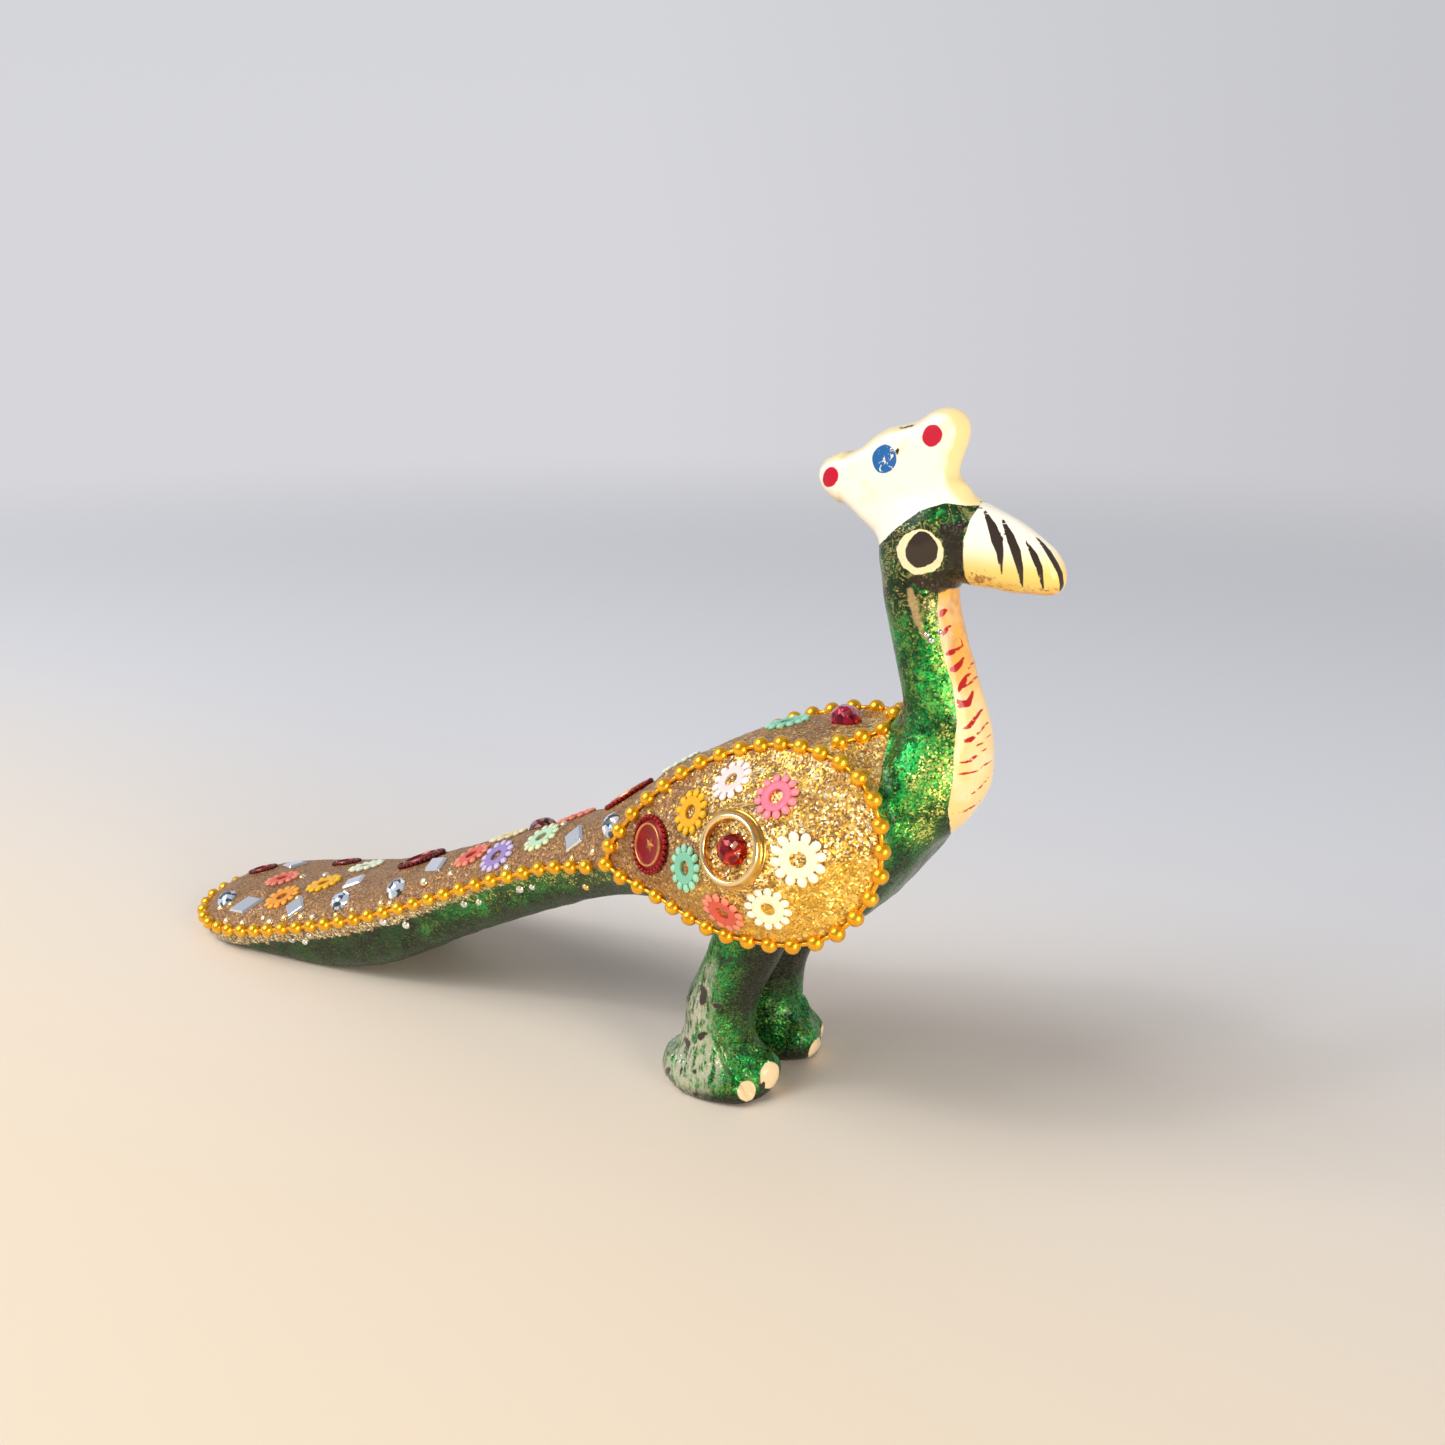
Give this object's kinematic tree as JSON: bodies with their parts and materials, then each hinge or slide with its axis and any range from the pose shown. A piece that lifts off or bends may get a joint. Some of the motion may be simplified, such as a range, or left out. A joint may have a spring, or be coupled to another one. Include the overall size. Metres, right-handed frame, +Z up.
{
  "type": "resin peacock figurine",
  "caption": "Small standing peacock figurine in cast resin, painted metallic green and trimmed with bead chain, sequins, cut stones and small mirrors; a shelf ornament.",
  "frame": {"origin": "on the floor, under the middle of the figurine's length", "axes": "+X forward along the beak, +Y to the bird's left, +Z up"},
  "size_m": [0.1368, 0.0383, 0.0847],
  "materials": {
    "body": "metallic glitter paint over cast lac resin",
    "bead_chain": "polished",
    "ring": "polished",
    "stone_red": "polished facets",
    "flower_cream": "glossy foil",
    "flower_coral": "glossy foil",
    "flower_teal": "glossy foil",
    "flower_yellow": "glossy foil",
    "flower_blush": "glossy foil",
    "flower_pink": "glossy foil",
    "sequin_garnet": "glossy",
    "stone_plum": "polished facets",
    "flower_pale_mint": "glossy foil",
    "rhinestone": "polished facets",
    "mirror": "polished",
    "flower_mint": "glossy foil",
    "stone_garnet": "polished facets",
    "flower_violet": "glossy foil",
    "flower_pale_gold": "glossy foil",
    "flower_orange": "glossy foil"
  },
  "bodies": {
    "root": {"peacock_body": "body", "wing_bead_chain_right": "bead_chain", "wing_bead_chain_left": "bead_chain", "tail_bead_chain": "bead_chain", "neck_bead_chain": "bead_chain", "wing_ring_right": "ring", "wing_ring_stone_right": "stone_red", "wing_flower_cream_large_right": "flower_cream", "wing_flower_cream_right": "flower_cream", "wing_flower_coral_right": "flower_coral", "wing_flower_teal_right": "flower_teal", "wing_flower_yellow_right": "flower_yellow", "wing_flower_blush_right": "flower_blush", "wing_flower_pink_right": "flower_pink", "wing_cup_sequin_right": "sequin_garnet", "wing_ring_left": "ring", "wing_ring_stone_left": "stone_red", "wing_flower_cream_large_left": "flower_cream", "wing_flower_cream_left": "flower_cream", "wing_flower_coral_left": "flower_coral", "wing_flower_teal_left": "flower_teal", "wing_flower_yellow_left": "flower_yellow", "wing_flower_blush_left": "flower_blush", "wing_flower_pink_left": "flower_pink", "wing_cup_sequin_left": "sequin_garnet", "back_stone": "stone_plum", "back_flower_teal": "flower_teal", "back_flower_pale": "flower_pale_mint", "back_cup_sequin": "sequin_garnet", "back_rhinestone": "rhinestone", "tail_mirror_1": "mirror", "tail_flower_coral_1": "flower_coral", "tail_flower_mint": "flower_mint", "tail_stone": "stone_garnet", "tail_flower_violet": "flower_violet", "tail_flower_pale_gold": "flower_pale_gold", "tail_flower_coral_2": "flower_coral", "tail_mirror_2": "mirror", "tail_rhinestone_1": "rhinestone", "tail_cup_sequin_1": "sequin_garnet", "tail_rhinestone_2": "rhinestone", "tail_mirror_3": "mirror", "tail_flower_mint_pale": "flower_pale_mint", "tail_mirror_4": "mirror", "tail_flower_yellow": "flower_yellow", "tail_flower_orange": "flower_orange", "tail_cup_sequin_2": "sequin_garnet", "tail_mirror_5": "mirror", "tail_flower_coral_3": "flower_coral", "tail_mirror_6": "mirror", "tail_rhinestone_3": "rhinestone", "tail_cup_sequin_3": "sequin_garnet"}
  },
  "joints": []
}
